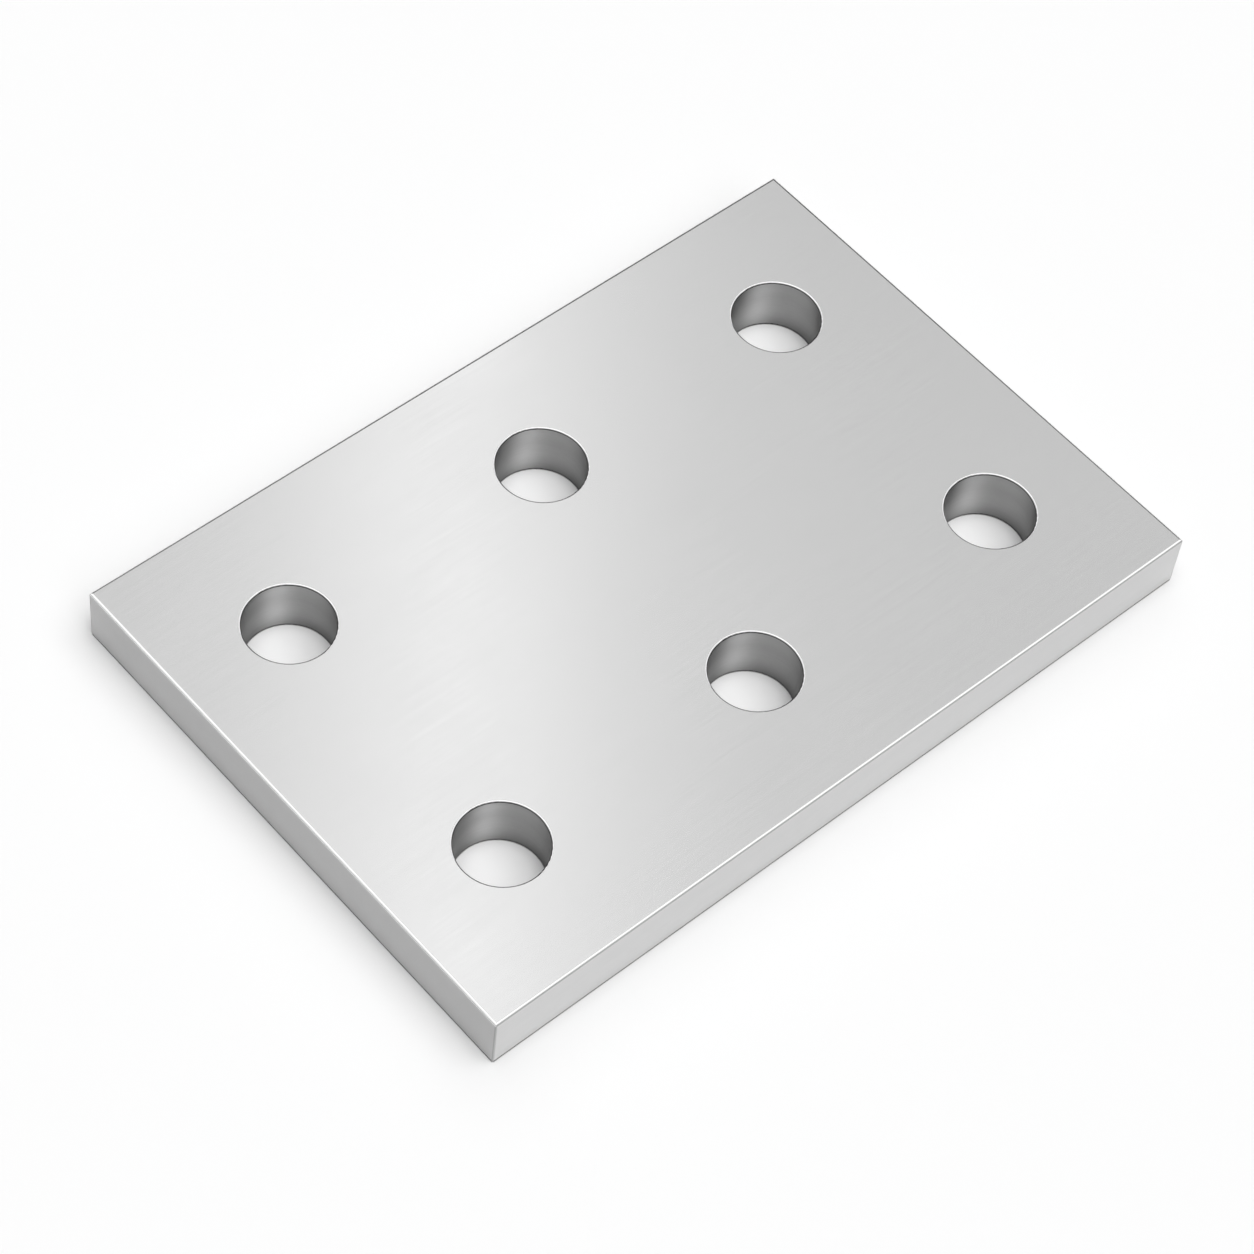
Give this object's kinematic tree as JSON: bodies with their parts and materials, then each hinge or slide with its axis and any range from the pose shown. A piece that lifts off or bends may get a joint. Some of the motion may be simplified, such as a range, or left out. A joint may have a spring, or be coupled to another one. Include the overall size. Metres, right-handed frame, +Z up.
{
  "type": "rectangular mounting plate",
  "caption": "Flat rectangular metal plate with a regular grid of plain round bolt holes and lightly rounded edges.",
  "frame": {"origin": "centre of the plate's bottom face", "axes": "+X along the plate's length, +Y across its width, +Z up through its thickness"},
  "size_m": [0.135, 0.092, 0.01],
  "materials": {
    "plate": "fine satin, with brighter rounded edges"
  },
  "bodies": {
    "root": {"plate": "plate"}
  },
  "joints": []
}
